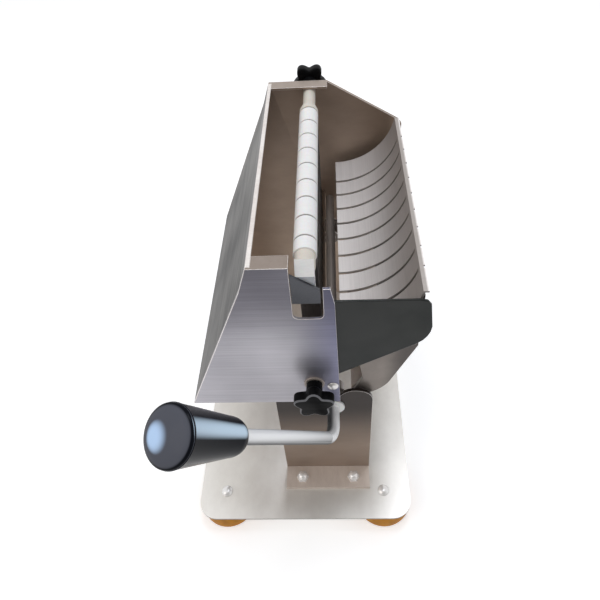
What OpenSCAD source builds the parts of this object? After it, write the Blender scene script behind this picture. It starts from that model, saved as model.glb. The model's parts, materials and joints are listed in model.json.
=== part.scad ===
// Table-top sausage slicer worked by hand. A lever tilts a slotted
// quarter-round trough against a row of fixed upright knives, which cut
// a whole sausage into equal slices in one pull.
// Millimetres. X runs to the right, Y to the rear and Z up. Outlines are
// written from the middle of the base's front edge, on its top face, and
// at_origin() then moves them to the point under the middle of the part.

/* [Base] */
// Width of the base plate
base_w = 200; // [196:1:230]
// Length of the base plate, front to rear
base_l = 330; // [324:1:370]
// Thickness of the base plate
base_t = 2; // [1.5:0.5:4]
// Radius of the base plate's corners
base_r = 18; // [6:1:26]
// Diameter of a foot where it stands
foot_d = 52; // [36:1:52]
// Diameter of a foot under the plate
foot_top_d = 46; // [30:1:48]
// Height of a foot
foot_h = 20; // [12:1:30]
// Foot centre in from the plate's side
foot_in_x = 25; // [24:1:28]
// Foot centre in from the plate's front or rear edge
foot_in_y = 26; // [24:1:28]
// Thread diameter of the screw in a foot
foot_screw_d = 6; // [4:1:8]
// Diameter of the domed head of a foot's screw
foot_head_d = 11; // [10:0.5:14]
// Height of the domed head of a foot's screw
foot_head_h = 3.5; // [2:0.5:5]
// How far a foot's screw reaches into the rubber
foot_screw_in = 12; // [6:1:16]

/* [Stands] */
// Thickness of the front and rear stand plates
stand_t = 3; // [2:0.5:4]
// Rear face of the front plate, from the base's front edge
front_y = 49; // [46:1:60]
// Left edge of the stands, left of the centre line
stand_left = 17.5; // [14:0.5:24]
// Right edge of the stands in from the base plate's right side
stand_in_right = 37.5; // [34:0.5:40]
// Centres of the front stand's ears above the lever shaft
ear_rise = 8.5; // [6:0.5:10]
// Extra height between the front stand's ears
stand_mid_h = 5.5; // [3:0.5:7]
// Radius of the front stand's ears
ear_r = 14; // [10:0.5:15]
// Depth of the front stand's foot flange
front_flange_l = 21; // [18:1:24]
// Depth of the rear stand's foot flange
rear_flange_l = 21; // [18:1:24]
// Thread diameter of the bolts in the flanges
bolt_d = 6; // [5:1:6]
// Width across the flats of a bolt's head and of its cap nut
bolt_af = 10; // [9:0.5:10]
// Height of a bolt's head; its cap nut is half as high again
bolt_head_h = 4; // [3:0.5:5]
// Bolt in from a side of the front flange
bolt_in = 15.5; // [12:0.5:18]

/* [Housing] */
// Thickness of the front plate
plate_t = 2; // [1.5:0.5:3]
// Thickness of the sloping left wall, measured level
wall_t = 1.5; // [1:0.5:3]
// Width of the turned edge along the top of the left wall
hem_w = 3; // [3:0.5:5]
// Lower edge of the housing above the lever shaft
house_rise = 10.5; // [10:0.5:13]
// Lower left corner of the housing, left of the centre line
house_left = 85; // [70:1:90]
// Bend of the left wall, left of the centre line
kink_x = 28.7; // [26:0.1:32]
// Bend of the left wall below the housing's top
kink_drop = 21; // [16:1:28]
// Top left corner of the housing, left of the centre line
house_top_left = 22; // [20:0.5:24]
// Top of the housing above the upper rod
house_over = 8; // [7.5:0.5:12]
// Right edge of the front plate at its top
plate_right = 31; // [30:0.5:33]
// Right edge of the front plate at its lower edge
plate_right_low = 36; // [36:0.5:40]
// Depth of the turned-in flange on the front plate
front_lip_l = 10; // [6:1:14]
// Depth of the turned-in flange on the rear plate
rear_lip_l = 9; // [6:1:11]
// Thickness of both turned-in flanges
lip_t = 2; // [1.5:0.5:2.5]
// Thickness of the right cheek
cheek_t = 2; // [1.5:0.5:3]
// Top edge of the right cheek below the upper rod
cheek_drop = 27; // [24:1:30]
// Right edge of the cheek and of the rear plate
cheek_right = 101; // [97:0.5:101]
// Left edge of the cheek
cheek_left = 27.5; // [26.5:0.5:28.5]
// Lower edge of the cheek's left side above the lower rod
cheek_rise = 3.5; // [2:0.5:7]

/* [Knives] */
// Distance from knife to knife, the thickness of a slice
knife_pitch = 20; // [17:0.5:21]
// Thickness of a knife
knife_t = 1.2; // [0.8:0.1:1.6]
// Width of a knife
knife_w = 15; // [12:0.5:15]
// First knife behind the front plate
knife_first = 29; // [28:1:34]
// Last knife in front of the rear plate
knife_last = 42; // [38:1:46]
// Upper rod right of the centre line
upper_x = 15; // [14.5:0.1:15.5]
// Distance of the upper rod above the lower rod
knife_l = 121; // [118:1:126]
// Lower rod right of the centre line
lower_x = 16; // [15:0.5:16.5]
// Height of the lower rod above the lever shaft
lower_rise = 39; // [38:0.5:41]
// Diameter of the studs in both rods
stud_d = 8; // [6:0.5:8.5]
// Diameter of the nylon sleeves on the upper rod
sleeve_d = 16; // [14:0.5:17]
// Diameter of the slotted lower rod
comb_d = 19; // [17:0.5:20]
// Diameter of the narrow end of the far sleeve
neck_d = 11; // [10:0.5:11.5]
// Diameter of the collar behind the end block
collar_d = 14; // [12:0.5:16]
// Length of the collar behind the end block
collar_l = 11; // [7:0.5:14]
// Width of the open slot in the front plate
slot_w = 21; // [20:0.5:22]
// Bottom of the open slot below the upper rod
slot_drop = 42; // [34:1:50]
// Bottom of the end block below the upper rod
block_drop = 26; // [20:1:30]
// Thickness of the end block
block_t = 6; // [4.5:0.5:8]
// Width of the end block
block_w = 12.6; // [11:0.2:14]
// Slope on the end block's upper front edge, measured down its face
block_slope = 10; // [7:0.5:13]
// Tie rod right of the lower rod
tie_off = 14.5; // [14.5:0.1:15]
// Tie rod below the lower rod
tie_drop = 5; // [4.5:0.5:6]
// Diameter of the tie rod
tie_d = 9; // [7:0.5:9]
// Thread diameter of the screws in the tie rod
tie_screw_d = 5; // [3:0.5:5]
// Depth of a screw in the tie rod
tie_screw_l = 12; // [8:1:20]
// Height of a tie screw's head
tie_head_h = 2.5; // [1.5:0.5:4]

/* [Knobs] */
// Diameter of a star knob over its five lobes
knob_d = 32; // [28:1:36]
// Thickness of a star knob
knob_t = 9; // [7:0.5:12]
// Diameter of a star knob's hub
knob_hub_d = 13; // [12:0.5:16]
// Length of a star knob's hub
knob_hub_l = 10.7; // [8:0.1:14]
// Thickness of the washer and of the crown under a knob
washer_t = 1.5; // [1:0.5:3]

/* [Lever] */
// Lever shaft right of the centre line
lever_x = 30; // [29:0.5:30.5]
// Height of the lever shaft
lever_z = 118; // [105:1:140]
// Diameter of the lever's round bar
rod_d = 10; // [8:0.5:12]
// Bend radius of the bar's centre line
bend_r = 18; // [12:1:20]
// Bend corner behind the base's front edge
corner_y = 20; // [14:1:22]
// Angle through which the bar is bent
bend_deg = 66.5; // [60:0.1:80]
// Turn of the bent bar about the shaft
lever_deg = 119; // [110:0.5:135]
// Start of the grip along the bent bar
grip_start = 128.7; // [110:0.1:140]
// Length of the grip
grip_l = 64.5; // [55:0.5:75]
// Largest diameter of the grip
grip_d = 35.2; // [32:0.2:40]
// Diameter of the grip at the end of its rounded neck
grip_neck_d = 24.6; // [22:0.2:30]
// Diameter of the grip where the bar goes in
grip_mouth_d = 12; // [11.5:0.5:14]
// Height of the grip's domed end
dome_h = 4.5; // [3:0.5:8]
// Diameter of a bushing's body
bush_d = 14; // [14:0.5:16]
// Diameter of the front bushing's flange
bush_flange_d = 19; // [17:0.5:19]
// Thickness of the front bushing's flange
bush_flange_t = 2; // [1:0.5:3]
// Diameter of the retaining collar on the rear end
ring_d = 18; // [15:0.5:22]
// Width of the retaining collar
ring_l = 7.7; // [5:0.1:10]

/* [Cradle] */
// Inner radius of the trough
trough_r = 56; // [54:0.5:58]
// Centre of the trough right of the centre line
trough_x = 37.3; // [36.8:0.1:37.8]
// Trough's centre below the upper rod
trough_drop = 16.5; // [15.5:0.5:18]
// Thickness of the trough sheet
trough_t = 1.5; // [1:0.5:2]
// Angle of the trough's rim below the level of its centre
rim_deg = 8.7; // [7:0.1:11]
// Width of the lip along the rim
rim_lip = 4; // [3:0.1:4]
// Width of a slot in the trough
gap_w = 2.6; // [2.2:0.1:4]
// Thickness of the two swing arms
arm_t = 3; // [2:0.5:3]
// Radius of a swing arm round the shaft
arm_hub_r = 14; // [12:0.5:15]
// Radius of the curve at the arms' lower end
knee_r = 33; // [30:1:35]
// Thickness of the curved skirt
skirt_t = 1.5; // [1:0.5:2.5]
// Diameter of the hub tubes
hub_d = 19; // [15:0.5:22]
// Length of the hub tubes
hub_l = 12; // [8:1:20]

/* [Fits] */
// Radial clearance of a turning or pushed fit
fit = 0.05; // [0.02:0.01:0.08]
// Gap between pieces that lie next to each other
seat_gap = 0.3; // [0.2:0.05:0.5]
// Space between a swing arm and the front plate's rear face
arm_gap = 6; // [5.5:0.5:8]

/* [Hidden] */
$fn = 64;
over = 1;
knife_n = 9;
lobes = 5;

// Levels along Y, from the housing's front to its rear
knife_y0 = front_y + knife_first;
last_y = knife_y0 + (knife_n - 1) * knife_pitch;
rear_y = last_y + knife_last;
rear_back = rear_y + stand_t;
arm_y0 = front_y + arm_gap;
arm_gap_share = 1.75;
arm_y1 = rear_y - arm_gap * arm_gap_share;
comb_y = front_y + stand_t;

// Heights that follow the lever shaft
lower_z = lever_z + lower_rise;
upper_z = lower_z + knife_l;
tie_x = lower_x + tie_off;
tie_z = lower_z - tie_drop;
trough_z = upper_z - trough_drop;
stand_h = lever_z + ear_rise;
stand_right = base_w / 2 - stand_in_right;

// Heights of the housing
house_low = lever_z + house_rise;
cheek_low = lower_z + cheek_rise;
house_top = upper_z + house_over;
kink_z = house_top - kink_drop;
plate_step = 20;
right_top = house_top - plate_step;
cheek_top = upper_z - cheek_drop;
hem_x = hem_w - house_top_left;

// Radii
rod_r = rod_d / 2;
stud_r = stud_d / 2;
bore_r = stud_r + fit;
rim_r = trough_r + trough_t;

// Rim, at the upper right end of the trough
rim_x = trough_x + trough_r * cos(rim_deg);
rim_z = trough_z - trough_r * sin(rim_deg);
// Band left whole between the slots and the rim
rim_band = 3;
tick_w = 1.2;

// Outer edge of the swing arms: a round knee that runs into a straight
// line and then rises to the rim
knee_off = [15.3, 40.1];
knee_x = lever_x + knee_off[0];
knee_z = lever_z + knee_off[1];
knee_deg = 68.5;
arm_edge_x = trough_x + rim_r - trough_t / 3;
// Inner edge of the swing arms, from the shaft
arm_in_1 = [15.5, 12];
arm_in_2 = [24.5, 32];
arm_in_3 = [22, 48];
arm_in_4 = [13.5, 68];

// Lever. The bar swells a little where it is bent
bend_swell = 0.02;
tan_l = bend_r * tan(bend_deg / 2);
grip_end = grip_start + grip_l;
dome_t = grip_end - dome_h;
grip_in_share = 0.78;
neck_share = 1.75;
arm_cy = cos(bend_deg);
arm_sy = sin(bend_deg);
grip_reach = sqrt(pow(arm_cy * dome_h, 2) + pow(arm_sy * grip_d / 2, 2));
y_min = corner_y - arm_cy * dome_t - grip_reach;
y_mid = (base_l + y_min) / 2;
z_base = foot_h + base_t;

// Bolts
bolt_y = front_y - front_flange_l / 2 - seat_gap;
rear_bolt_y = rear_back + rear_flange_l / 2;
rear_bolt_left = 30;
rear_bolt_in = 17.5;
rear_stand_left = 55;
rear_waist_share = 0.85;

// Moves the outline frame to the part's own origin
module at_origin() {
    translate([0, -y_mid, z_base]) children();
}

// Draws a flat outline in X and Z and thickens it to the rear from y
module sheet(y, t) {
    translate([0, y + t, 0]) rotate([90, 0, 0]) linear_extrude(t) children();
}

// Round bar or bore along Y at x, z
module bar(x, z, y, l, r) {
    translate([x, y + l, z]) rotate([90, 0, 0]) cylinder(r = r, h = l);
}

// Lays a profile drawn as radius and height along Y, with its top to the front
module turned(x, z, y) {
    translate([x, y, z]) rotate([90, 0, 0]) children();
}

function arc(x, z, r, a0, a1, n) =
    [for (i = [0:n]) let (a = a0 + (a1 - a0) * i / n) [x + r * cos(a), z + r * sin(a)]];

// Base

foot_x = base_w / 2 - foot_in_x;
function foot_at(n) = [
    (n % 2 == 1 ? -foot_x : foot_x),
    (n <= 2 ? foot_in_y : base_l - foot_in_y)
];

function bolt_at(n) = n == 1 ? [bolt_in - stand_left, bolt_y]
    : n == 2 ? [stand_right - bolt_in, bolt_y]
    : n == 3 ? [-rear_bolt_left, rear_bolt_y]
    : [stand_right - rear_bolt_in, rear_bolt_y];

module base_plate() {
    color("gainsboro") at_origin() difference() {
        translate([0, 0, -base_t]) linear_extrude(base_t) union() {
            translate([base_r - base_w / 2, 0]) square([base_w - 2 * base_r, base_l]);
            translate([-base_w / 2, base_r]) square([base_w, base_l - 2 * base_r]);
            for (x = [-1, 1], y = [base_r, base_l - base_r])
                translate([x * (base_w / 2 - base_r), y]) circle(r = base_r);
        }
        for (n = [1:4]) {
            translate([foot_at(n)[0], foot_at(n)[1], -base_t - over])
                cylinder(d = foot_screw_d + 2 * fit, h = base_t + 2 * over);
            translate([bolt_at(n)[0], bolt_at(n)[1], -base_t - over])
                cylinder(d = bolt_d + 2 * fit, h = base_t + 2 * over);
        }
    }
}

// Rubber foot, wider where it stands
module foot(n) {
    color("goldenrod") at_origin() translate([foot_at(n)[0], foot_at(n)[1], -z_base])
        difference() {
            cylinder(d1 = foot_d, d2 = foot_top_d, h = foot_h);
            translate([0, 0, foot_h - foot_screw_in])
                cylinder(d = foot_screw_d + 2 * fit, h = foot_screw_in + over);
        }
}

// Screw with a domed head that holds a foot
module foot_screw(n) {
    cap_r = foot_head_d / 2;
    color("silver") at_origin() translate([foot_at(n)[0], foot_at(n)[1], 0])
        rotate_extrude() polygon(concat(
            [[0, seat_gap - base_t - foot_screw_in], [foot_screw_d / 2, seat_gap - base_t - foot_screw_in],
             [foot_screw_d / 2, 0]],
            [for (i = [0:8]) [cap_r * cos(90 * i / 8), foot_head_h * sin(90 * i / 8)]]));
}

// Bolt from under the plate, through a stand's flange into a domed cap nut
module stand_bolt(n) {
    cap_r = 0.4 * bolt_af;
    hex_h = 0.6 * bolt_head_h;
    dome_h = 0.6 * bolt_head_h;
    dome_z = 1.5 * bolt_head_h - dome_h;
    color("silver") at_origin() translate([bolt_at(n)[0], bolt_at(n)[1], 0]) {
        translate([0, 0, -base_t - bolt_head_h])
            cylinder(d = bolt_d, h = base_t + stand_t + 1.5 * bolt_head_h);
        translate([0, 0, stand_t])
            cylinder(d = bolt_af / cos(30), h = hex_h, $fn = 6);
        translate([0, 0, stand_t]) rotate_extrude() polygon(concat(
            [[0, 0], [cap_r, 0]],
            [for (i = [0:8]) [cap_r * cos(90 * i / 8), dome_z + dome_h * sin(90 * i / 8)]]));
        translate([0, 0, -base_t - bolt_head_h])
            cylinder(d = bolt_af / cos(30), h = bolt_head_h, $fn = 6);
    }
}

// Stands

// Bent stand under the front plate, with two ears and a tongue that
// carries the lower rod
module front_stand() {
    mid = stand_h + stand_mid_h;
    tongue_top = lower_z + ear_r;
    ear_a = ear_r - stand_left;
    ear_b = stand_right - ear_r;
    color("dimgray") at_origin() difference() {
        union() {
            sheet(front_y, stand_t) union() {
                translate([-stand_left, 0]) square([stand_left + stand_right, stand_h]);
                translate([ear_a, 0]) square([ear_b - ear_a, mid]);
                translate([ear_a, stand_h]) circle(r = ear_r);
                translate([ear_b, stand_h]) circle(r = ear_r);
                translate([lower_x - comb_d / 2, 0]) square([comb_d, tongue_top]);
            }
            translate([-stand_left, front_y - front_flange_l, 0])
                cube([stand_left + stand_right, front_flange_l + stand_t, stand_t]);
        }
        bar(lever_x, lever_z, front_y - over, stand_t + 2 * over, bush_d / 2);
        bar(lower_x, lower_z, front_y - over, stand_t + 2 * over, bore_r);
        for (n = [1:2])
            translate([bolt_at(n)[0], bolt_at(n)[1], -over])
                cylinder(d = bolt_d + 2 * fit, h = stand_t + 2 * over);
    }
}

// Rear plate of the housing, which is the rear stand in one piece
module rear_frame() {
    right = cheek_right;
    slope_x = right - seat_slope;
    color("rosybrown") at_origin() difference() {
        union() {
            sheet(rear_y, stand_t) polygon([
                [-rear_stand_left, 0], [stand_right, 0], [stand_right, lever_z * rear_waist_share],
                [right - low_in, cheek_top - low_drop], [right, cheek_top - side_drop],
                [right, cheek_top - top_drop], [slope_x, cheek_top - top_cut],
                [plate_right, house_top], [-house_top_left, house_top],
                [-kink_x, kink_z], [-house_left, house_low]
            ]);
            translate([-rear_stand_left, rear_y, 0])
                cube([rear_stand_left + stand_right, rear_flange_l + stand_t, stand_t]);
            translate([hem_x, rear_y - rear_lip_l, house_top - lip_t])
                cube([plate_right - hem_x, rear_lip_l + stand_t, lip_t]);
        }
        bar(lever_x, lever_z, rear_y - over, stand_t + 2 * over, bush_d / 2);
        bar(lower_x, lower_z, rear_y - over, stand_t + 2 * over, bore_r);
        bar(upper_x, upper_z, rear_y - over, stand_t + 2 * over, bore_r);
        bar(tie_x, tie_z, rear_y - over, stand_t + 2 * over, tie_screw_d / 2 + fit);
        for (n = [3:4])
            translate([bolt_at(n)[0], bolt_at(n)[1], -over])
                cylinder(d = bolt_d + 2 * fit, h = stand_t + 2 * over);
    }
}
// Corners of the rear plate's right side, in from its edge and down from
// the level of the cheek's top
seat_slope = 4;
low_in = 8;
low_drop = 48;
side_drop = 36;
top_drop = 11;
top_cut = 6;

// Housing

slot_off = 0.5;
slot_x = upper_x + slot_off - slot_w / 2;

corner_w = 2.6;
corner_h = 14;

// Front plate with the open slot for the knives' upper rod
module front_plate() {
    slot_r = slot_w / 5;
    slot_z = upper_z - slot_drop;
    color("lightsteelblue") at_origin() difference() {
        union() {
            sheet(front_y - plate_t, plate_t) difference() {
                polygon([
                    [-house_left, house_low], [plate_right_low, house_low],
                    [plate_right + corner_w, right_top - corner_h],
                    [plate_right, right_top], [slot_x + slot_w / 2, right_top],
                    [slot_x, right_top], [slot_x, house_top],
                    [-house_top_left, house_top], [-kink_x, kink_z]
                ]);
                translate([slot_x, slot_z + slot_r]) square([slot_w, slot_drop]);
                translate([slot_x + slot_r, slot_z]) square([slot_w - 2 * slot_r, slot_drop]);
                for (x = [slot_x + slot_r, slot_x + slot_w - slot_r])
                    translate([x, slot_z + slot_r]) circle(r = slot_r);
            }
            translate([hem_x, front_y - plate_t, house_top - lip_t])
                cube([slot_x - hem_x, front_lip_l + plate_t, lip_t]);
        }
        bar(lower_x, lower_z, front_y - plate_t - over, plate_t + 2 * over, bore_r);
        bar(tie_x, tie_z, front_y - plate_t - over, plate_t + 2 * over, tie_screw_d / 2 + fit);
    }
}

// Sloping left wall with a turned edge along its top
module hood_wall() {
    color("silver") at_origin() sheet(front_y, rear_y - front_y) union() {
        polygon([
            [-house_left, house_low], [wall_t - house_left, house_low],
            [wall_t - kink_x, kink_z], [wall_t - house_top_left, house_top],
            [-house_top_left, house_top], [-kink_x, kink_z]
        ]);
        translate([-house_top_left, house_top - lip_t]) square([hem_w, lip_t]);
    }
}

// Polished cheek at the right of the slot, in front of the trough
module cheek() {
    w = cheek_right - cheek_left;
    h = cheek_top - cheek_low;
    color("darkslategray") at_origin() sheet(front_y, cheek_t) polygon([
        for (p = cheek_shares) [cheek_left + w * p[0], cheek_low + h * p[1]]
    ]);
}
cheek_shares = [
    [0, 0], [0.115, 0.06], [0.87, 0.465], [0.93, 0.51], [0.97, 0.565],
    [0.992, 0.62], [1, 0.68], [0.96, 0.945], [0.925, 0.985], [0.85, 1], [0, 1]
];

// Knives and their rods

// Outline of a knife, a straight band with round ends
module knife_flat(w) {
    a = atan2(lower_z - upper_z, lower_x - upper_x);
    polygon(concat(
        arc(upper_x, upper_z, w / 2, a + 90, a + 270, 16),
        arc(lower_x, lower_z, w / 2, a - 90, a + 90, 16)));
}

function knife_at(n) = knife_y0 + (n - 1) * knife_pitch;

module knife(n) {
    y = knife_at(n) - knife_t / 2;
    color("lightgray") at_origin() difference() {
        sheet(y, knife_t) knife_flat(knife_w);
        bar(upper_x, upper_z, y - over, knife_t + 2 * over, bore_r);
        bar(lower_x, lower_z, y - over, knife_t + 2 * over, bore_r);
    }
}

// Nylon sleeve between two knives
module upper_sleeve(n) {
    y = knife_at(n) + knife_t / 2;
    l = knife_pitch - knife_t;
    color("whitesmoke") at_origin() difference() {
        bar(upper_x, upper_z, y, l, sleeve_d / 2);
        bar(upper_x, upper_z, y - over, l + 2 * over, bore_r);
    }
}

module upper_near_sleeve() {
    y = front_y + block_t + collar_l;
    l = knife_y0 - knife_t / 2 - y;
    color("whitesmoke") at_origin() difference() {
        bar(upper_x, upper_z, y, l, sleeve_d / 2);
        bar(upper_x, upper_z, y - over, l + 2 * over, bore_r);
    }
}

// Last sleeve, which narrows to a neck at the rear plate
module upper_far_sleeve() {
    y = last_y + knife_t / 2;
    l = rear_y - y;
    full_share = 0.106;
    cone_share = 0.32;
    color("whitesmoke") at_origin() turned(upper_x, upper_z, rear_y)
        rotate_extrude() polygon([
            [bore_r, 0], [neck_d / 2, 0], [neck_d / 2, l * (1 - cone_share)],
            [sleeve_d / 2, l * (1 - full_share)], [sleeve_d / 2, l], [bore_r, l]
        ]);
}

// Slotted lower rod that holds the knives' lower ends apart
module lower_comb() {
    l = rear_y - comb_y;
    color("gray") at_origin() difference() {
        bar(lower_x, lower_z, comb_y, l, comb_d / 2);
        bar(lower_x, lower_z, comb_y - over, l + 2 * over, bore_r);
        for (n = [1:knife_n])
            sheet(knife_at(n) - knife_t / 2 - fit, knife_t + 2 * fit)
                knife_flat(knife_w + 2 * fit);
    }
}

// The upper stud ends inside the end block, behind its slope
core_share = 0.7;
core_y = front_y + block_t * core_share;
module upper_core() {
    y = core_y;
    color("silver") at_origin()
        bar(upper_x, upper_z, y, rear_back + knob_hub_l + knob_t / 2 - y, stud_r);
}

// Stud of the lower rod, with its washer and its rear nut
module lower_core() {
    y0 = front_y - plate_t - washer_t - seat_gap - knob_hub_l - knob_t / 2;
    color("silver") at_origin() {
        bar(lower_x, lower_z, y0, rear_back + bolt_head_h - y0, stud_r);
        bar(lower_x, lower_z, front_y - plate_t - washer_t, washer_t, knob_hub_d / 2 + washer_t);
        bar_hex(lower_x, lower_z, rear_back, bolt_head_h, knob_hub_d);
    }
}
module bar_hex(x, z, y, l, af) {
    translate([x, y + l, z]) rotate([90, 0, 0]) cylinder(d = af / cos(30), h = l, $fn = 6);
}

// White block behind the slot that carries the upper rod's near end. Its
// upper front edge is cut to a steep slope
module end_block() {
    z0 = upper_z - block_drop;
    top = upper_z + sleeve_d / 2;
    color("white") at_origin() difference() {
        translate([upper_x - block_w / 2, 0, 0]) rotate([90, 0, 90]) linear_extrude(block_w)
            polygon([
                [front_y, z0], [front_y + block_t, z0], [front_y + block_t, top],
                [front_y, top - block_slope]
            ]);
        bar(upper_x, upper_z, core_y, front_y + block_t + over - core_y, bore_r);
    }
}

module end_collar() {
    color("darkgray") at_origin() difference() {
        bar(upper_x, upper_z, front_y + block_t, collar_l, collar_d / 2);
        bar(upper_x, upper_z, front_y + block_t - over, collar_l + 2 * over, bore_r);
    }
}

// Slanted plate that closes the slot in front of the end block
module slot_latch() {
    w = slot_w - washer_t - seat_gap;
    x = slot_x + seat_gap;
    z0 = upper_z - block_drop;
    color("darkslategray") at_origin() sheet(front_y - plate_t, plate_t) polygon([
        [x, z0], [x + w, z0], [x + w, z0 + block_drop / 2], [x, upper_z + washer_t]
    ]);
}

// Knobs

// Star knob drawn with its hub's end at height 0 and the star above it
module star_knob() {
    lobe_r = knob_d * 0.165;
    difference() {
        union() {
            cylinder(d = knob_hub_d, h = knob_hub_l + knob_t / 2);
            translate([0, 0, knob_hub_l]) linear_extrude(knob_t) union() {
                circle(r = knob_d * 0.31);
                for (i = [0:lobes - 1])
                    rotate(90 + 360 * i / lobes) translate([knob_d / 2 - lobe_r, 0])
                        circle(r = lobe_r);
            }
        }
        translate([0, 0, -over]) cylinder(r = bore_r, h = knob_hub_l + knob_t / 2 + over + fit);
    }
}

module front_knob() {
    y = front_y - plate_t - washer_t - seat_gap;
    color("#202020") at_origin() turned(lower_x, lower_z, y) star_knob();
}

module rear_knob() {
    color("#202020") at_origin() translate([upper_x, rear_back + seat_gap, upper_z])
        rotate([-90, 0, 0]) star_knob();
}

// Tie rod

module tie_rod() {
    l = rear_y - front_y;
    color("silver") at_origin() difference() {
        bar(tie_x, tie_z, front_y, l, tie_d / 2);
        bar(tie_x, tie_z, front_y - over, tie_screw_l + over, tie_screw_d / 2 + fit);
        bar(tie_x, tie_z, rear_y - tie_screw_l, tie_screw_l + over, tie_screw_d / 2 + fit);
    }
}

// Button-headed screw drawn with its head below height 0
module tie_screw(through) {
    rotate_extrude() polygon(concat(
        [[0, through + tie_screw_l - seat_gap], [0, -tie_head_h]],
        [for (i = [7:-1:0]) [tie_d / 2 * cos(90 * i / 8), -tie_head_h * sin(90 * i / 8)]],
        [[tie_screw_d / 2, 0], [tie_screw_d / 2, through + tie_screw_l - seat_gap]]));
}

module tie_screw_front() {
    color("silver") at_origin() translate([tie_x, front_y - plate_t, tie_z])
        rotate([-90, 0, 0]) tie_screw(plate_t);
}

module tie_screw_rear() {
    color("silver") at_origin() translate([tie_x, rear_back, tie_z])
        rotate([90, 0, 0]) tie_screw(stand_t);
}

// Lever

module front_bushing() {
    body_l = arm_gap - seat_gap;
    color("ivory") at_origin() difference() {
        union() {
            bar(lever_x, lever_z, front_y, body_l, bush_d / 2);
            bar(lever_x, lever_z, front_y - bush_flange_t, bush_flange_t, bush_flange_d / 2);
        }
        bar(lever_x, lever_z, front_y - bush_flange_t - over, body_l + bush_flange_t + 2 * over,
            rod_r + fit);
    }
}

module rear_bushing() {
    y = arm_y1 + seat_gap;
    l = rear_back - y;
    color("ivory") at_origin() difference() {
        bar(lever_x, lever_z, y, l, bush_d / 2);
        bar(lever_x, lever_z, y - over, l + 2 * over, rod_r + fit);
    }
}

// Lays children drawn along Z on the bent end of the lever bar
module along_arm() {
    translate([lever_x, corner_y, lever_z]) rotate([0, -lever_deg, 0])
        rotate([0, 0, bend_deg - 90]) rotate([0, 90, 0]) children();
}

// Round bar: the shaft through both stands, bent in front to the lever
module crank_rod() {
    end_y = rear_back + seat_gap + ring_l;
    color("white") at_origin() {
        bar(lever_x, lever_z, corner_y + tan_l, end_y - corner_y - tan_l, rod_r);
        translate([lever_x, corner_y, lever_z]) rotate([0, -lever_deg, 0])
            translate([bend_r, tan_l, 0]) rotate([0, 0, 180])
                rotate_extrude(angle = bend_deg) translate([bend_r, 0])
                    circle(r = rod_r + bend_swell);
        along_arm() translate([0, 0, tan_l])
            cylinder(r = rod_r, h = grip_start + grip_l * grip_in_share - tan_l);
    }
}

// Cone-shaped grip with a rounded neck and a low dome on its end
module grip() {
    neck_r = (grip_neck_d - grip_mouth_d) / 2;
    neck_l = neck_r * neck_share;
    depth = grip_l * grip_in_share + fit;
    n = 8;
    color("#101014") at_origin() along_arm() translate([0, 0, grip_start])
        rotate_extrude() polygon(concat(
            [[0, depth], [rod_r + fit, depth], [rod_r + fit, 0]],
            [for (i = [0:n]) [grip_mouth_d / 2 + neck_r * sin(90 * i / n),
                              neck_l * (1 - cos(90 * i / n))]],
            [for (i = [0:n]) [grip_d / 2 * cos(90 * i / n),
                              grip_l - dome_h + dome_h * sin(90 * i / n)]]));
}

module rear_collar() {
    y = rear_back + seat_gap;
    color("silver") at_origin() difference() {
        bar(lever_x, lever_z, y, ring_l, ring_d / 2);
        bar(lever_x, lever_z, y - over, ring_l + 2 * over, rod_r + fit);
    }
}

// Cradle

// Quarter-round trough with a lip along its rim and a slot for each knife
module cradle_trough() {
    l = arm_y1 - arm_y0;
    far = 2 * rim_r;
    band_a = rim_deg + rim_band / trough_r * 180 / PI;
    slot_end = trough_x + trough_r * cos(band_a);
    color("tan") at_origin() difference() {
        sheet(arm_y0, l) union() {
            translate([trough_x, trough_z]) intersection() {
                difference() {
                    circle(r = rim_r, $fn = 96);
                    circle(r = trough_r, $fn = 96);
                }
                polygon([[0, 0], [0, -far], [far, -far], [far, -far * tan(rim_deg)]]);
            }
            translate([rim_x, rim_z - trough_t]) square([rim_lip, trough_t]);
        }
        for (n = [1:knife_n]) {
            translate([trough_x - over, knife_at(n) - gap_w / 2, trough_z - rim_r - over])
                cube([slot_end - trough_x + over, gap_w, rim_r + over]);
            translate([rim_x + rim_lip - tick_w, knife_at(n) - gap_w / 2, rim_z - trough_t - over])
                cube([tick_w + over, gap_w, trough_t + 2 * over]);
        }
    }
}

shaft = [lever_x, lever_z];
knee_end = [knee_x + knee_r * sin(knee_deg), knee_z - knee_r * cos(knee_deg)];
// Where the straight line above the knee meets the upright edge
edge_z = knee_end[1] + (arm_edge_x - knee_end[0]) * tan(knee_deg);

// Swing arm, a C-shaped plate from the shaft to the trough
module arm(y) {
    color("darkgray") at_origin() difference() {
        sheet(y, arm_t) difference() {
            union() {
                translate([lever_x, lever_z]) circle(r = arm_hub_r);
                polygon(concat(
                    [[lever_x, lever_z]],
                    arc(knee_x, knee_z, knee_r, -90, knee_deg - 90, 10),
                    [[arm_edge_x, edge_z], [arm_edge_x, rim_z - rim_lip], [trough_x, rim_z - rim_lip],
                     [trough_x + trough_t / 2, trough_z - rim_r], shaft + arm_in_4,
                     shaft + arm_in_3, shaft + arm_in_2, shaft + arm_in_1]));
            }
            translate([trough_x, trough_z]) circle(r = rim_r, $fn = 96);
            translate([trough_x - trough_r, trough_z - trough_t]) square([trough_r, trough_r]);
        }
        bar(lever_x, lever_z, y - over, arm_t + 2 * over, rod_r + fit);
    }
}

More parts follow.
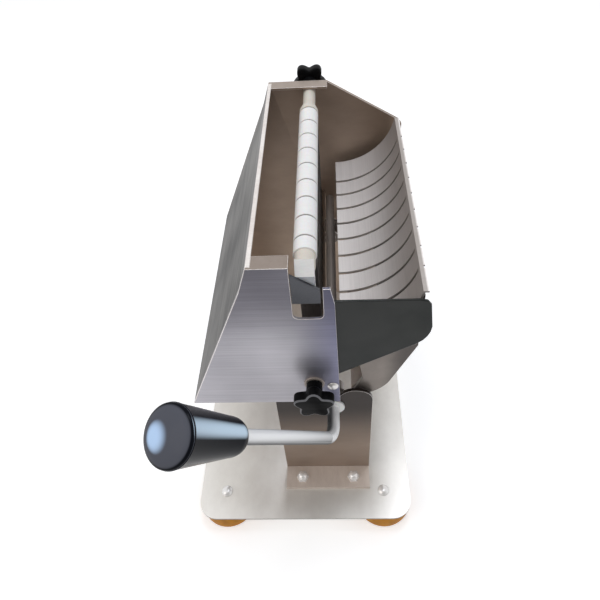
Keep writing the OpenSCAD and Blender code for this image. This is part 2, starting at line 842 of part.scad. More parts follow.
// Curved sheet between the two arms, along their outer edge
module cradle_skirt() {
    y = arm_y0 + arm_t;
    t = skirt_t;
    color("darkgray") at_origin() sheet(y, arm_y1 - arm_t - y) difference() {
        polygon(concat(
            arc(knee_x, knee_z, knee_r, -90, knee_deg - 90, 10),
            [[arm_edge_x, edge_z], [arm_edge_x, rim_z - rim_lip], [arm_edge_x - t, rim_z - rim_lip],
             [arm_edge_x - t, edge_z + t * 0.4]],
            arc(knee_x, knee_z, knee_r - t, knee_deg - 90, -90, 10)));
        translate([trough_x, trough_z]) circle(r = rim_r, $fn = 96);
    }
}

module hub(y) {
    color("darkgray") at_origin() difference() {
        bar(lever_x, lever_z, y, hub_l, hub_d / 2);
        bar(lever_x, lever_z, y - over, hub_l + 2 * over, rod_r + fit);
    }
}

base_plate();
foot(1);  // foot_1
foot(2);  // foot_2
foot(3);  // foot_3
foot(4);  // foot_4
foot_screw(1);  // foot_screw_1
foot_screw(2);  // foot_screw_2
foot_screw(3);  // foot_screw_3
foot_screw(4);  // foot_screw_4
front_stand();
rear_frame();
stand_bolt(1);  // stand_bolt_1
stand_bolt(2);  // stand_bolt_2
stand_bolt(3);  // stand_bolt_3
stand_bolt(4);  // stand_bolt_4
front_plate();
hood_wall();
cheek();
knife(1);  // knife_1
knife(2);  // knife_2
knife(3);  // knife_3
knife(4);  // knife_4
knife(5);  // knife_5
knife(6);  // knife_6
knife(7);  // knife_7
knife(8);  // knife_8
knife(9);  // knife_9
upper_sleeve(1);  // upper_sleeve_1
upper_sleeve(2);  // upper_sleeve_2
upper_sleeve(3);  // upper_sleeve_3
upper_sleeve(4);  // upper_sleeve_4
upper_sleeve(5);  // upper_sleeve_5
upper_sleeve(6);  // upper_sleeve_6
upper_sleeve(7);  // upper_sleeve_7
upper_sleeve(8);  // upper_sleeve_8
upper_near_sleeve();
upper_far_sleeve();
lower_comb();
upper_core();
lower_core();
end_block();
end_collar();
slot_latch();
front_knob();
rear_knob();
tie_rod();
tie_screw_front();
tie_screw_rear();
front_bushing();
rear_bushing();
crank_rod();
grip();
cradle_trough();
cradle_skirt();
arm(arm_y0);  // arm_front
arm(arm_y1 - arm_t);  // arm_rear
hub(arm_y0 + arm_t);  // hub_front
hub(arm_y1 - arm_t - hub_l);  // hub_rear
rear_collar();
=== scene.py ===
"""A table-top sausage slicer of brushed stainless steel on four amber rubber feet.

A bent chrome bar with a black grip tilts a slotted trough against nine fixed knives. The
file follows the machine as it is put together, from its base up to the lever.
"""

import json
import math

import bmesh
import bpy
from mathutils import Matrix, Vector


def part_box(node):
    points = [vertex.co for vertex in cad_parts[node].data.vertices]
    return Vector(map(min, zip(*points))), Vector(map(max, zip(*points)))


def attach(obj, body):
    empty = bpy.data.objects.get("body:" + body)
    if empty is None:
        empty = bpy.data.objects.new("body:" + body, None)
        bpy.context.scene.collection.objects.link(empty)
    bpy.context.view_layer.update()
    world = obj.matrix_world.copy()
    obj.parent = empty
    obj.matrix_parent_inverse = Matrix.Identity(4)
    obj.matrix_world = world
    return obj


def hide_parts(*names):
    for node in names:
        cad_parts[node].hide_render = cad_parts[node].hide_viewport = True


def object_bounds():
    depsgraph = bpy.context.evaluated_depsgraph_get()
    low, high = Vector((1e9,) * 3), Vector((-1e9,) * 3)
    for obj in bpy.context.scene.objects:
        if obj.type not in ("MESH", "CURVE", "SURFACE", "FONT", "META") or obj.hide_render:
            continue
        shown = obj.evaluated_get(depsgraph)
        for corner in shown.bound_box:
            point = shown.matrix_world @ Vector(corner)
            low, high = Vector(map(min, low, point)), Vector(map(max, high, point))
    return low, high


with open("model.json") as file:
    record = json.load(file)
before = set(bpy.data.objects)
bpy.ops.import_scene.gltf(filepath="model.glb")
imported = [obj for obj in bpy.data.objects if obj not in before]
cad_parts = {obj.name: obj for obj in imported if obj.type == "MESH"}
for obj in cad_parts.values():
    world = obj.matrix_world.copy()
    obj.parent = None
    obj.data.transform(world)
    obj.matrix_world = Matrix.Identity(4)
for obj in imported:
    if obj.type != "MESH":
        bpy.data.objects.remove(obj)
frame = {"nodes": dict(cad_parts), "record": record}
cad_box = [list(corner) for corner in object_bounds()]


# Floor and daylight
# A plain white table top with soft light from all round, as in a photographer's tent.
# The paper shows white to the eye and in polished steel, and keeps the shadow. Only the
# side where the photographer stands is left darker in the steel.
def linear(hex_colour):
    """Turns an sRGB hex colour into the linear colour that a shader takes."""
    channels = [int(hex_colour[i:i + 2], 16) / 255 for i in (1, 3, 5)]
    return [c / 12.92 if c <= 0.04045 else ((c + 0.055) / 1.055) ** 2.4
            for c in channels] + [1.0]


def add(tree, kind, links=None, **settings):
    """Adds a node with its settings. links maps an input's name or number to a socket or a
    value."""
    made = tree.nodes.new(kind)
    for name, value in settings.items():
        setattr(made, name, value)
    for name, value in (links or {}).items():
        if isinstance(value, bpy.types.NodeSocket):
            tree.links.new(value, made.inputs[name])
        else:
            made.inputs[name].default_value = value
    return made


def new_material(name):
    """An empty material and its tree."""
    material = bpy.data.materials.new(name)
    material.use_nodes = True
    material.node_tree.nodes.clear()
    return material, material.node_tree


floor_paper, tree = new_material("white_paper")
rays = add(tree, "ShaderNodeLightPath")
seen = add(tree, "ShaderNodeMath", {0: rays.outputs["Is Camera Ray"],
                                    1: rays.outputs["Is Glossy Ray"]}, operation="MAXIMUM")
paper = add(tree, "ShaderNodeBsdfDiffuse", {"Color": linear("#f4f4f4")})
white = add(tree, "ShaderNodeEmission", {"Color": linear("#ffffff"), "Strength": 0.42})
both = add(tree, "ShaderNodeAddShader", {0: paper.outputs[0], 1: white.outputs[0]})
shown = add(tree, "ShaderNodeMixShader", {0: seen.outputs[0], 1: paper.outputs[0],
                                          2: both.outputs[0]})
add(tree, "ShaderNodeOutputMaterial", {"Surface": shown.outputs[0]})

under_feet = 0.0003
table = bmesh.new()
bmesh.ops.create_grid(table, x_segments=1, y_segments=1, size=3.0)
floor_mesh = bpy.data.meshes.new("table_top")
table.to_mesh(floor_mesh)
table.free()
table_top = bpy.data.objects.new("table_top", floor_mesh)
table_top.location.z = cad_box[0][2] - under_feet
bpy.context.scene.collection.objects.link(table_top)
floor_mesh.materials.append(floor_paper)

world = bpy.data.worlds.new("light_tent")
bpy.context.scene.world = world
world.use_nodes = True
world.node_tree.nodes.clear()
tree = world.node_tree
rays = add(tree, "ShaderNodeLightPath")
tent = add(tree, "ShaderNodeBackground", {"Color": linear("#f2f3f5"), "Strength": 0.62})
backdrop = add(tree, "ShaderNodeBackground", {"Color": linear("#ffffff"), "Strength": 1.0})
seen = add(tree, "ShaderNodeMath", {0: rays.outputs["Is Camera Ray"],
                                    1: rays.outputs["Is Glossy Ray"]}, operation="MAXIMUM")
mixed = add(tree, "ShaderNodeMixShader", {0: seen.outputs[0], 1: tent.outputs[0],
                                          2: backdrop.outputs[0]})
aim = add(tree, "ShaderNodeTexCoord")
room_side = (0.1, -0.8, 0.6)
toward_room = add(tree, "ShaderNodeVectorMath", {0: aim.outputs["Generated"], 1: room_side},
                  operation="DOT_PRODUCT")
room = add(tree, "ShaderNodeMapRange", {"Value": toward_room.outputs["Value"], "From Min": 0.6,
                                        "From Max": 0.95}, interpolation_type="SMOOTHSTEP")
in_steel = add(tree, "ShaderNodeMath", {0: room.outputs[0], 1: rays.outputs["Is Glossy Ray"]},
               operation="MULTIPLY")
shade = add(tree, "ShaderNodeBackground", {"Color": linear("#7d7771"), "Strength": 1.0})
surround = add(tree, "ShaderNodeMixShader", {0: in_steel.outputs[0], 1: mixed.outputs[0],
                                             2: shade.outputs[0]})
add(tree, "ShaderNodeOutputWorld", {"Surface": surround.outputs[0]})


def lamp(name, place, aim, size, power, colour):
    """A soft square lamp at place that looks at aim, both in metres."""
    light = bpy.data.lights.new(name, "AREA")
    light.shape = "SQUARE"
    light.size = size
    light.energy = power
    light.color = linear(colour)[:3]
    body = bpy.data.objects.new(name, light)
    body.location = place
    body.rotation_euler = (Vector(aim) - Vector(place)).to_track_quat("-Z", "Y").to_euler()
    bpy.context.scene.collection.objects.link(body)


mid_machine = (0, 0, 0.15)
lamp("soft_box_above", (0.12, 0.25, 1.5), mid_machine, 0.45, 5.5, "#eef4ff")
lamp("soft_box_left", (-1.1, -0.7, 1.3), mid_machine, 0.9, 4, "#fff4ea")

# Camera
# A 34 mm lens over the operator's side, looking down along the machine from above the grip.
# Place and turn were worked out from the corners of the base, the front plate and the slot.
lens_data = bpy.data.cameras.new("photo_camera")
lens_data.sensor_width = 36.0
lens_data.lens = 33.73
lens_data.shift_x = -0.0130
lens_data.shift_y = -0.0469
camera = bpy.data.objects.new("photo_camera", lens_data)
pitch, yaw, roll = 0.8090, -0.0711, -0.0763
ahead = Vector((math.sin(yaw) * math.cos(pitch), math.cos(yaw) * math.cos(pitch),
                -math.sin(pitch)))
level = Vector((math.cos(yaw), -math.sin(yaw), 0))
upward = level.cross(ahead)
right = math.cos(roll) * level + math.sin(roll) * upward
top = -math.sin(roll) * level + math.cos(roll) * upward
front_y, deck_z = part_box("base_plate")[0].y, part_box("base_plate")[1].z
eye = (0.03453, front_y - 0.1932, deck_z + 0.53522)
turn = Matrix((right, top, -ahead)).transposed().to_4x4()
camera.matrix_world = Matrix.Translation(eye) @ turn
bpy.context.scene.collection.objects.link(camera)
bpy.context.scene.camera = camera
bpy.context.scene.view_settings.view_transform = "Standard"


# Base plate
# A 2 mm sheet of satin stainless steel with round corners. The satin finish is a fine random
# grind, so it has only a faint cloud and no clear lines. The sheared edge is left grey.
merge_distance = 1e-6
flat_angle, edge_angle = math.radians(0.6), math.radians(38)


def dress(node, material, edge=0.0003, edge_finish=None):
    """Copies a CAD node's shape, rounds its edges by `edge` metres and shows it in the node's
    place. edge_finish is the material of the rounded edges, where it differs."""
    shape = bmesh.new()
    shape.from_mesh(frame["nodes"][node].data)
    bmesh.ops.remove_doubles(shape, verts=shape.verts, dist=merge_distance)
    bmesh.ops.dissolve_limit(shape, angle_limit=flat_angle, verts=shape.verts,
                             edges=shape.edges)
    mesh = bpy.data.meshes.new(node + "_shown")
    shape.to_mesh(mesh)
    shape.free()
    for face in mesh.polygons:
        face.use_smooth = True
    mesh.materials.append(material)
    piece = bpy.data.objects.new(node + "_shown", mesh)
    bpy.context.scene.collection.objects.link(piece)
    if edge:
        rounding = piece.modifiers.new("rounded_edges", "BEVEL")
        rounding.width = edge
        rounding.segments = 2
        rounding.limit_method = "ANGLE"
        rounding.angle_limit = edge_angle
        rounding.harden_normals = True
        if edge_finish:
            mesh.materials.append(edge_finish)
            rounding.material = 1
    mesh.set_sharp_from_angle(angle=edge_angle)
    ride_with(piece, node)
    return piece


def refinish(piece, material, picks):
    """Gives another finish to the faces that picks chooses by their centre and normal."""
    piece.data.materials.append(material)
    for face in piece.data.polygons:
        if picks(face.center, face.normal):
            face.material_index = len(piece.data.materials) - 1


def ride_with(piece, node):
    """Moves a piece with the body that holds a CAD node, and shows it for that node."""
    bodies = frame["record"]["behaviour"]["bodies"]
    body = next(name for name, nodes in bodies.items() if node in nodes)
    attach(piece, body)
    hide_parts(node)


def steel(name, light, dark, rough, grain, cloud=9.0, bump=0.02, painted_light_fades=(), metal=1.0,
          rim="#ffffff"):
    """Ground or brushed sheet steel. grain is how many scratches cross a metre along X, Y
    and Z, and cloud how many light and dark patches. Each painted light fade is an axis (0 to
    2), the two places on it in metres where the tint begins and is full, and the tint; it
    paints shade, or a painted reflection, along that axis. metal is below 1 where a film of
    grease dulls the shine, and rim is the tint of its slanting reflection."""
    material, tree = new_material(name)
    place = add(tree, "ShaderNodeTexCoord")
    patches = add(tree, "ShaderNodeTexNoise", {
        "Vector": place.outputs["Object"], "Scale": cloud, "Detail": 2.0, "Roughness": 0.5})
    stretch = add(tree, "ShaderNodeMapping", {"Vector": place.outputs["Object"],
                                              "Scale": grain})
    scratches = add(tree, "ShaderNodeTexNoise", {"Vector": stretch.outputs[0], "Scale": 1.0,
                                                 "Detail": 4.0, "Roughness": 0.65})
    blend = add(tree, "ShaderNodeMath", {0: patches.outputs["Fac"],
                                         1: scratches.outputs["Fac"]}, operation="ADD")
    spread = add(tree, "ShaderNodeMapRange", {"Value": blend.outputs[0], "From Min": 0.75,
                                              "From Max": 1.25})
    tone = add(tree, "ShaderNodeMix", {0: spread.outputs[0], 6: linear(dark), 7: linear(light)},
               data_type="RGBA")
    apart = add(tree, "ShaderNodeSeparateXYZ", {0: place.outputs["Object"]})
    # Painted shade or painted reflection, laid along one axis.
    for axis, begin, full, tint in painted_light_fades:
        share = add(tree, "ShaderNodeMapRange", {"Value": apart.outputs[axis],
                                                 "From Min": begin, "From Max": full},
                    interpolation_type="SMOOTHSTEP")
        tone = add(tree, "ShaderNodeMix", {0: share.outputs[0], 6: tone.outputs[2],
                                           7: linear(tint)}, data_type="RGBA",
                   blend_type="MULTIPLY")
    gloss = add(tree, "ShaderNodeMapRange", {"Value": scratches.outputs["Fac"],
                                             "To Min": rough - 0.05, "To Max": rough + 0.07})
    relief = add(tree, "ShaderNodeBump", {"Height": scratches.outputs["Fac"], "Strength": bump,
                                          "Distance": 0.0002})
    finish = add(tree, "ShaderNodeBsdfPrincipled", {
        "Base Color": tone.outputs[2], "Metallic": metal, "Roughness": gloss.outputs[0],
        "Specular Tint": linear(rim), "Normal": relief.outputs[0]})
    add(tree, "ShaderNodeOutputMaterial", {"Surface": finish.outputs[0]})
    return material


satin_steel = steel("satin_ground_stainless", "#f0ede7", "#e6e2dc", 0.33, (90, 60, 90), 9,
                    0.003, metal=0.55)
sheared_edge = steel("sheared_edge_grey", "#a3a19d", "#918f8b", 0.5, (300, 300, 20), 40,
                     0.003, metal=0.6)
base = dress("base_plate", satin_steel, 0.0004)
refinish(base, sheared_edge, lambda centre, normal: abs(normal.z) < 0.5)

# Feet
# Moulded amber rubber, wider where it stands, with a rounded edge on the table and a thin
# lip under the plate. The rubber is a little cloudy and lets some light through.
amber_rubber, tree = new_material("moulded_amber_rubber")
place = add(tree, "ShaderNodeTexCoord")
cloud = add(tree, "ShaderNodeTexNoise", {"Vector": place.outputs["Object"], "Scale": 120.0,
                                         "Detail": 3.0})
tone = add(tree, "ShaderNodeMix", {0: cloud.outputs["Fac"], 6: linear("#93600f"),
                                   7: linear("#e0992a")}, data_type="RGBA")
relief = add(tree, "ShaderNodeBump", {"Height": cloud.outputs["Fac"], "Strength": 0.06,
                                      "Distance": 0.0003})
finish = add(tree, "ShaderNodeBsdfPrincipled", {
    "Base Color": tone.outputs[2], "Roughness": 0.5, "Subsurface Weight": 0.15,
    "Subsurface Scale": 0.004, "IOR": 1.5, "Specular IOR Level": 0.3,
    "Normal": relief.outputs[0]})
add(tree, "ShaderNodeOutputMaterial", {"Surface": finish.outputs[0]})


def smooth_piece(name, shape):
    """Turns a finished bmesh into a smooth piece with its sharp edges kept."""
    mesh = bpy.data.meshes.new(name)
    shape.to_mesh(mesh)
    shape.free()
    for face in mesh.polygons:
        face.use_smooth = True
    mesh.set_sharp_from_angle(angle=math.radians(40))
    piece = bpy.data.objects.new(name, mesh)
    bpy.context.scene.collection.objects.link(piece)
    return piece


def lathe(name, profile, steps=64):
    """Turns a profile of (radius, height) points about Z into a closed piece."""
    shape = bmesh.new()
    points = [shape.verts.new((radius, 0, height)) for radius, height in profile]
    edges = [shape.edges.new(pair) for pair in zip(points, points[1:])]
    bmesh.ops.spin(shape, geom=points + edges, cent=(0, 0, 0), axis=(0, 0, 1),
                   angle=math.tau, steps=steps, use_merge=True)
    bmesh.ops.remove_doubles(shape, verts=shape.verts, dist=merge_distance)
    bmesh.ops.recalc_face_normals(shape, faces=shape.faces)
    return smooth_piece(name, shape)


def fillet(centre, radius, start, end, steps=6):
    """Points of a round corner in a profile, by its centre, radius and two angles."""
    return [(centre[0] + radius * math.cos(math.radians(start + (end - start) * i / steps)),
             centre[1] + radius * math.sin(math.radians(start + (end - start) * i / steps)))
            for i in range(steps + 1)]


# How far the profile's points lie in from the widest radius and down from the plate.
foot_edge = 0.0015
cone_in, groove_in, lip_in, top_in = 0.0022, 0.0032, 0.0030, 0.0040
cone_down, groove_down, lip_down = 0.006, 0.005, 0.001
for number in (1, 2, 3, 4):
    low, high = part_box(f"foot_{number}")
    wide, tall = (high.x - low.x) / 2, high.z - low.z
    foot = lathe(f"rubber_foot_{number}", [
        (0, 0), (wide - foot_edge, 0),
        *fillet((wide - foot_edge, foot_edge), foot_edge, -90, 5),
        (wide - cone_in, tall - cone_down), (wide - groove_in, tall - groove_down),
        (wide - lip_in, tall - lip_down), (wide - top_in, tall), (0, tall)])
    foot.data.transform(Matrix.Translation(((low.x + high.x) / 2, (low.y + high.y) / 2, low.z)))
    foot.data.materials.append(amber_rubber)
    ride_with(foot, f"foot_{number}")

# Screws, bolts and bars
# Screws and cap nuts are turned steel, tumbled bright, with slightly rounded edges. The tie
# rod and the lower stud are drawn bar with a film of grease.
bright_steel = steel("tumbled_bright_steel", "#ffffff", "#f4f0ec", 0.2, (900, 900, 900), 60,
                     0.01, metal=0.35)
for number in (1, 2, 3, 4):
    dress(f"foot_screw_{number}", bright_steel, 0.0003)
    dress(f"stand_bolt_{number}", bright_steel, 0.0005)
for name in ("tie_screw_front", "tie_screw_rear", "upper_core", "rear_collar"):
    dress(name, bright_steel)
greasy_bar = steel("drawn_bar_greasy", "#b9aea5", "#a3988f", 0.35, (900, 20, 900), 30,
                   0.01, metal=0.3)
dress("tie_rod", greasy_bar)
dress("lower_core", greasy_bar)

# Stands
# Bent 3 mm sheet, the front one with two rounded ears, the rear one in one piece with the
# housing's rear plate. The sheet is smooth, and heat tint browns it. Painted shade darkens the
# rear sheet towards its left, its right and its top, and the front stand towards its top under
# the housing. The front stand's foot and the upward face of the rear sheet's turned top edge
# are painted lighter, as painted light. All cut edges are ground bright and painted bright
# as a painted highlight.
# The cut edges are ground, and their bright colour is a painted highlight.
edge_highlight_steel = steel("ground_edge_painted_highlight", "#f4efeb", "#e2dad5", 0.3, (300, 300, 300), 40, 0.0,
                    metal=0.6)
# Painted shade: the sheet darkens to the left, to the right and towards the top.
brown_steel = steel("heat_tinted_sheet_painted_shade", "#cdb8a6", "#bca898", 0.42, (30, 30, 60), 7,
                    0.003, [(0, 0.0, -0.06, "#aca299"), (0, 0.04, 0.1, "#cfc8c0"),
                            (2, 0.21, 0.3, "#c8c4c1")], 0.4)
# Painted shade: the front stand darkens towards its top, under the housing.
stand_steel = steel("smooth_sheet_painted_shade", "#a8978a", "#9a897c", 0.36, (30, 30, 60), 9, 0.003,
                    [(2, 0.06, 0.14, "#4c494b")], 0.6)
# Painted light: a lighter beige for faces that face up into the light.
lit_face_steel = steel("beige_sheet_painted_light", "#e6d9ce", "#d6c8bd", 0.4, (200, 60, 200), 12,
                     0.003, metal=0.4)
flange_top = deck_z + 0.0035
stand = dress("front_stand", stand_steel, 0.0004, edge_highlight_steel)
refinish(stand, lit_face_steel, lambda centre, normal: centre.z < flange_top)
turned_edge_low = 0.3055
# Painted highlight on the upward face of the rear sheet's turned top edge.
top_edge_highlight_steel = steel("turned_top_edge_painted_highlight", "#ab9f96", "#9d9188", 0.4, (60, 60, 60), 12, 0.003)
rear = dress("rear_frame", brown_steel, 0.0004, edge_highlight_steel)
refinish(rear, top_edge_highlight_steel,
         lambda centre, normal: centre.z > turned_edge_low and normal.z > 0.7)

# Housing
# A cross-brushed front plate with an open slot, a left wall brushed lengthwise, and a
# polished cheek, all of stainless sheet. The plate's turned-in edge and the wall's inside
# are left as rolled, with a brown heat tint. Painted shade darkens the wall's inside towards
# the back and the front plate towards its top. A painted bluish reflection tints the front
# plate towards its right, and the cheek's near-black colour is a painted dark reflection. The
# wall's turned top edge is ground bright, and its upward face is painted bright as a painted
# highlight.
# Painted shade towards the plate's top, and a painted bluish reflection towards its right.
brushed_front = steel("cross_brushed_stainless", "#bcbac0", "#a2a0a6", 0.42, (10, 300, 1100),
                      16, 0.04, [(2, 0.22, 0.285, "#a9a8ad"), (0, 0.0, 0.036, "#bcbed6")], 0.8)
brushed_wall = steel("long_brushed_stainless", "#b0aeab", "#585757", 0.36, (420, 6, 420), 12,
                     0.1, metal=0.9, rim="#969696")
# Painted shade darkens the wall's inside towards the back.
inside_steel = steel("rolled_inside_heat_tint_painted_shade", "#ebd8c7", "#dcc9b8", 0.42, (60, 10, 60), 9,
                     0.003, [(1, -0.02, 0.14, "#8a7e75")], 0.25)
turned_edge = steel("turned_edge_rolled", "#8f847c", "#82776e", 0.4, (60, 60, 60), 12, 0.003)
# The cheek's near-black colour is a painted dark reflection.
cheek_dark_reflection = steel("polished_steel_painted_dark_reflection", "#313231", "#262827", 0.28, (20, 20, 20), 20,
                     0.003, metal=0.9)
plate_rear = front_y + 0.0497
plate = dress("front_plate", brushed_front, 0.0005, edge_highlight_steel)
refinish(plate, turned_edge, lambda centre, normal: centre.y > plate_rear)
wall = dress("hood_wall", brushed_wall, 0.0005, edge_highlight_steel)
refinish(wall, inside_steel, lambda centre, normal: normal.x > 0.5)
# The wall's upward top face is painted bright, a painted highlight.
refinish(wall, edge_highlight_steel, lambda centre, normal: normal.z > 0.9)
dress("cheek", cheek_dark_reflection, 0.0005)

# Knives
# Nine upright blades of 1.2 mm steel, ground and polished. The two rods hold them, and a
# film of fat has dulled their sides a little.
blade_steel = steel("polished_blade_steel", "#8f8b87", "#7f7b77", 0.3, (900, 30, 60), 25, 0.005)
for number in range(1, 10):
    dress(f"knife_{number}", blade_steel, 0.0002)

# Upper rod
# White nylon turned from bar, with a small chamfer where the sleeves meet the knives. The
# end block's front face is painted grey, a painted shade. The far sleeve and the end collar
# take a greyer beige, which on the collar is a painted shade.
def nylon(name, light, dark):
    """Turned nylon with fine tool marks round Y."""
    material, tree = new_material(name)
    place = add(tree, "ShaderNodeTexCoord")
    tool_marks = add(tree, "ShaderNodeMapping", {"Vector": place.outputs["Object"],
                                                 "Scale": (200, 1400, 200)})
    rings = add(tree, "ShaderNodeTexNoise", {"Vector": tool_marks.outputs[0], "Scale": 1.0,
                                             "Detail": 2.0})
    tone = add(tree, "ShaderNodeMix", {0: rings.outputs["Fac"], 6: linear(dark),
                                       7: linear(light)}, data_type="RGBA")
    relief = add(tree, "ShaderNodeBump", {"Height": rings.outputs["Fac"], "Strength": 0.04,
                                          "Distance": 0.0002})
    finish = add(tree, "ShaderNodeBsdfPrincipled", {
        "Base Color": tone.outputs[2], "Roughness": 0.42, "IOR": 1.53,
        "Subsurface Weight": 0.1, "Subsurface Scale": 0.002, "Normal": relief.outputs[0]})
    add(tree, "ShaderNodeOutputMaterial", {"Surface": finish.outputs[0]})
    return material


white_nylon = nylon("turned_white_nylon", "#f5f4f2", "#e9e7e4")
for name in [f"upper_sleeve_{n}" for n in range(1, 9)] + ["upper_near_sleeve"]:
    dress(name, white_nylon, 0.0006)
dress("front_bushing", white_nylon)
dress("rear_bushing", white_nylon)
# A greyer beige; on the end collar it is painted shade.
greyer_nylon = nylon("turned_nylon_greyer_beige", "#ded8cd", "#cfc7ba")
dress("upper_far_sleeve", greyer_nylon, 0.0006)
dress("end_collar", greyer_nylon, 0.0004)
block = dress("end_block", white_nylon, 0.0004)
# Painted shade: the end block's front face is grey.
refinish(block, nylon("nylon_front_painted_shade", "#b4b6ba", "#a2a4a9"),
         lambda centre, normal: normal.y < -0.95)

# Lower rod and latch
# The lower rod's comb is turned aluminium with a tan stain of fat, and the latch in the slot
# is dark grey, bead blasted.
stained_metal = steel("turned_aluminium_stained", "#c2b3a4", "#a89888", 0.42,
                      (1200, 300, 1200), 40, 0.02)
dress("lower_comb", stained_metal, 0.0002)
dress("slot_latch", steel("bead_blasted_dark_grey", "#5c5d61", "#4d4e52", 0.5,
                          (1200, 1200, 1200), 40, 0.03), 0.0003)

# Star knobs
# Moulded black plastic with five rounded lobes and a fine matt grain. A light grey line along
# the star's outer edge is a painted highlight.
def moulded_black(name, colour, rough):
    """Black plastic with the fine grain of its mould."""
    material, tree = new_material(name)
    place = add(tree, "ShaderNodeTexCoord")
    grain = add(tree, "ShaderNodeTexNoise", {"Vector": place.outputs["Object"], "Scale": 1500.0,
                                             "Detail": 2.0})
    relief = add(tree, "ShaderNodeBump", {"Height": grain.outputs["Fac"], "Strength": 0.12,
                                          "Distance": 0.0001})
    finish = add(tree, "ShaderNodeBsdfPrincipled", {
        "Base Color": linear(colour), "Roughness": rough, "Specular IOR Level": 0.08,
        "Normal": relief.outputs[0]})
    add(tree, "ShaderNodeOutputMaterial", {"Surface": finish.outputs[0]})
    return material


black_plastic = moulded_black("moulded_black_plastic", "#0b0b0c", 0.45)
# Painted highlight: the light grey line on the star's outer edge.
edge_highlight_plastic = moulded_black("black_plastic_painted_highlight", "#77777a", 0.35)

star_radius, star_thick, hub_radius, hub_taper = 0.016, 0.009, 0.0065, 0.96
lobes, valley, lobe_power = 5, 0.70, 0.8
seat_bevel, outer_bevel = 0.0016, 0.0011


def star(name, radius, thick, hub, length):
    """A lobed knob on Z with its hub's end at 0 and the star on top. The star's outer edge
    takes the second material."""
    shape = bmesh.new()
    bmesh.ops.create_circle(shape, cap_ends=True, segments=120, radius=radius)
    for vert in shape.verts:
        swell = 0.5 + 0.5 * math.cos(lobes * math.atan2(vert.co.x, vert.co.y))
        vert.co *= valley + (1 - valley) * swell ** lobe_power
        vert.co.z = length
    raised = bmesh.ops.extrude_face_region(shape, geom=list(shape.faces))
    bmesh.ops.translate(shape, vec=(0, 0, thick),
                        verts=[v for v in raised["geom"] if isinstance(v, bmesh.types.BMVert)])
    for level_z, width, finish in ((length, seat_bevel, 0), (length + thick, outer_bevel, 1)):
        rim = [e for e in shape.edges
               if all(abs(v.co.z - level_z) < merge_distance for v in e.verts)]
        bmesh.ops.bevel(shape, geom=rim, offset=width, segments=3, profile=0.5, affect="EDGES",
                        material=finish, clamp_overlap=True)
    depth = length + thick / 2
    bmesh.ops.create_cone(shape, cap_ends=True, segments=48, radius1=hub * hub_taper,
                          radius2=hub, depth=depth,
                          matrix=Matrix.Translation((0, 0, depth / 2)))
    bmesh.ops.recalc_face_normals(shape, faces=shape.faces)
    piece = smooth_piece(name, shape)
    piece.data.materials.append(black_plastic)
    piece.data.materials.append(edge_highlight_plastic)
    return piece


for node, outward in (("front_knob", -1), ("rear_knob", 1)):
    low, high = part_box(node)
    knob = star(node + "_star", star_radius, star_thick, hub_radius,
                high.y - low.y - star_thick)
    seat_y = high.y if outward < 0 else low.y
    centre_z = high.z - star_radius if outward < 0 else low.z + star_radius
    knob.data.transform(Matrix.Translation(((low.x + high.x) / 2, seat_y, centre_z))
                        @ Matrix.Rotation(-outward * math.pi / 2, 4, "X"))
    ride_with(knob, node)

# Trough, arms and skirt
# The trough is 1.5 mm sheet bent to a quarter round, slotted for the knives, with a satin
# shine and painted shade towards its steep right side. Its lip's upward face is painted light
# at the outer edge and darker inward, a painted highlight. Arms and skirt are plain, with
# painted shade towards their right, and the skirt's upward faces inside take painted light.
# Painted shade towards the trough's steep right side.
trough_steel = steel("satin_trough_stainless", "#efe9e5", "#e0dad6", 0.45, (900, 12, 900), 14,
                     0.02, [(0, 0.06, 0.094, "#b9b6b4")], 0.3)
# Painted shade towards the skirt's right edge.
arm_steel = steel("plain_sheet_stainless", "#766e69", "#5e5752", 0.38, (40, 200, 40), 14, 0.004,
                  [(0, 0.07, 0.094, "#b9b8b9")], 0.7, "#a0a0a0")
trough = dress("cradle_trough", trough_steel, 0.0002)
# Painted highlight: the lip's outer edge stays light, the rest of its top is darkened.
lip_highlight_steel = steel("trough_lip_painted_highlight", "#f6f2ef", "#ebe6e2", 0.35, (60, 900, 60), 30, 0.003,
                  [(0, 0.0962, 0.0950, "#b5b1ae")], 0.5)
rim_low = 0.2745
refinish(trough, lip_highlight_steel, lambda centre, normal: centre.z > rim_low and normal.z > 0.9)
skirt = dress("cradle_skirt", arm_steel, 0.0003, edge_highlight_steel)
# Painted light on the skirt's upward faces.
refinish(skirt, lit_face_steel, lambda centre, normal: normal.z > 0.5)
# Painted shade towards the arms' right.
plain_steel = steel("plain_sheet_light", "#8c847d", "#776f69", 0.38, (40, 200, 40), 14, 0.004,
                    [(0, 0.068, 0.086, "#a6a4a5")], 0.5)
for name in ("arm_front", "arm_rear", "hub_front", "hub_rear"):
    dress(name, plain_steel, 0.0005, edge_highlight_steel)

# Lever bar
# Round bar, bent cold and plated with satin chrome. A painted highlight lightens its upper
# side, and painted shade darkens its underside.
def painted_light_by_facing(tree, place, tone, tints):
    """Paints light into a tone by the way the surface faces, as painted highlights or painted
    shade. Each tint is a direction, the two cosines to it where the tint begins and is full,
    and its colour."""
    for way, begin, full, tint in tints:
        facing = add(tree, "ShaderNodeVectorMath", {0: place.outputs["Normal"], 1: way},
                     operation="DOT_PRODUCT")
        share = add(tree, "ShaderNodeMapRange", {"Value": facing.outputs["Value"],
                                                 "From Min": begin, "From Max": full},
                    interpolation_type="SMOOTHSTEP")
        tone = add(tree, "ShaderNodeMix", {0: share.outputs[0], 6: tone, 7: linear(tint)},
                   data_type="RGBA").outputs[2]
    return tone


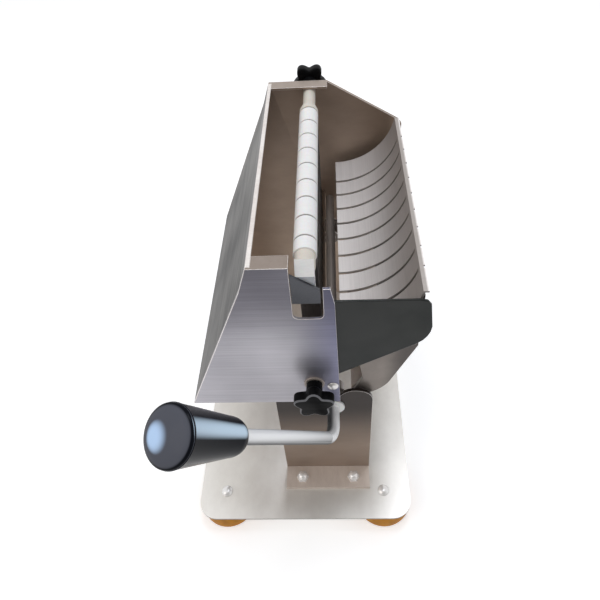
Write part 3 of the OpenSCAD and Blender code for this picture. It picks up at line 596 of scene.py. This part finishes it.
chrome, tree = new_material("satin_chrome_plate")
place = add(tree, "ShaderNodeTexCoord")
wear = add(tree, "ShaderNodeTexNoise", {"Vector": place.outputs["Object"], "Scale": 60.0,
                                        "Detail": 2.0})
gloss = add(tree, "ShaderNodeMapRange", {"Value": wear.outputs["Fac"], "To Min": 0.34,
                                         "To Max": 0.42})
# Painted highlight along the bar's upper side on a dark base, painted shade below.
finish = add(tree, "ShaderNodeBsdfPrincipled", {
    "Base Color": painted_light_by_facing(tree, place, linear("#595b5c"), [
        ((0.86, 0.07, 0.51), 0.15, 0.92, "#ffffff")]),
    "Metallic": 0.2, "Roughness": gloss.outputs[0], "Specular IOR Level": 0.25,
    "Specular Tint": linear("#909090")})
add(tree, "ShaderNodeOutputMaterial", {"Surface": finish.outputs[0]})
dress("crank_rod", chrome, 0.0)

# Grip
# Turned black plastic: a cone with a rounded neck and a low dome, with a fine groove between
# cone and dome. A lighter dome, a pale spot on it and a pale streak along the cone are
# painted highlights.
gloss_black, tree = new_material("polished_black_plastic")
place = add(tree, "ShaderNodeTexCoord")
smears = add(tree, "ShaderNodeTexNoise", {"Vector": place.outputs["Object"], "Scale": 90.0,
                                          "Detail": 4.0, "Roughness": 0.6})
gloss = add(tree, "ShaderNodeMapRange", {"Value": smears.outputs["Fac"], "To Min": 0.1,
                                         "To Max": 0.24})
# Painted highlights: a lighter dome, a pale spot on it and a pale streak along the cone.
tone = painted_light_by_facing(tree, place, linear("#101218"), [
    ((-0.40, -0.42, 0.81), 0.80, 0.93, "#575961"),
    ((-0.55, -0.38, 0.745), 0.987, 1.0, "#c2deff"),
    ((0.90, 0.05, 0.43), 0.915, 1.0, "#d8eeff")])
finish = add(tree, "ShaderNodeBsdfPrincipled", {
    "Base Color": tone, "Roughness": gloss.outputs[0], "IOR": 1.5, "Specular IOR Level": 0.04})
add(tree, "ShaderNodeOutputMaterial", {"Surface": finish.outputs[0]})

# The lever leaves the shaft's line by deflection, and side_turn counts from the right side
# over the top.
lever_bend = (0.030, front_y + 0.020, deck_z + 0.118)
deflection, side_turn = math.radians(66.5), math.radians(119)
along_lever = (Matrix.Translation(lever_bend)
               @ Matrix.Rotation(-side_turn, 4, "Y")
               @ Matrix.Rotation(deflection - math.pi / 2, 4, "Z")
               @ Matrix.Rotation(math.pi / 2, 4, "Y"))
mouth, neck, wide, from_bend = 0.006, 0.0123, 0.0176, 0.1287
neck_stretch, neck_steps = 1.75, 12
cone_top, chamfer, groove = 0.0586, 0.0002, 0.0010
dome_wide, dome_low, dome_high, dome_steps = wide - 0.0003, 0.0602, 0.0042, 16
neck_turn = [math.radians(90 * i / neck_steps) for i in range(neck_steps + 1)]
dome_turn = [math.radians(90 * i / dome_steps) for i in range(dome_steps + 1)]
grip = lathe("cone_grip", [
    (0, 0), (mouth, 0),
    *[(mouth + (neck - mouth) * math.sin(a),
       (neck - mouth) * neck_stretch * (1 - math.cos(a))) for a in neck_turn],
    (wide - chamfer, cone_top), (wide, 0.0591), (wide - chamfer, 0.0596),
    (wide - groove, 0.0598), (dome_wide, 0.0601),
    *[(dome_wide * math.cos(a), dome_low + dome_high * math.sin(a)) for a in dome_turn]], 96)
grip.data.transform(along_lever @ Matrix.Translation((0, 0, from_bend)))
grip.data.materials.append(gloss_black)
ride_with(grip, "grip")
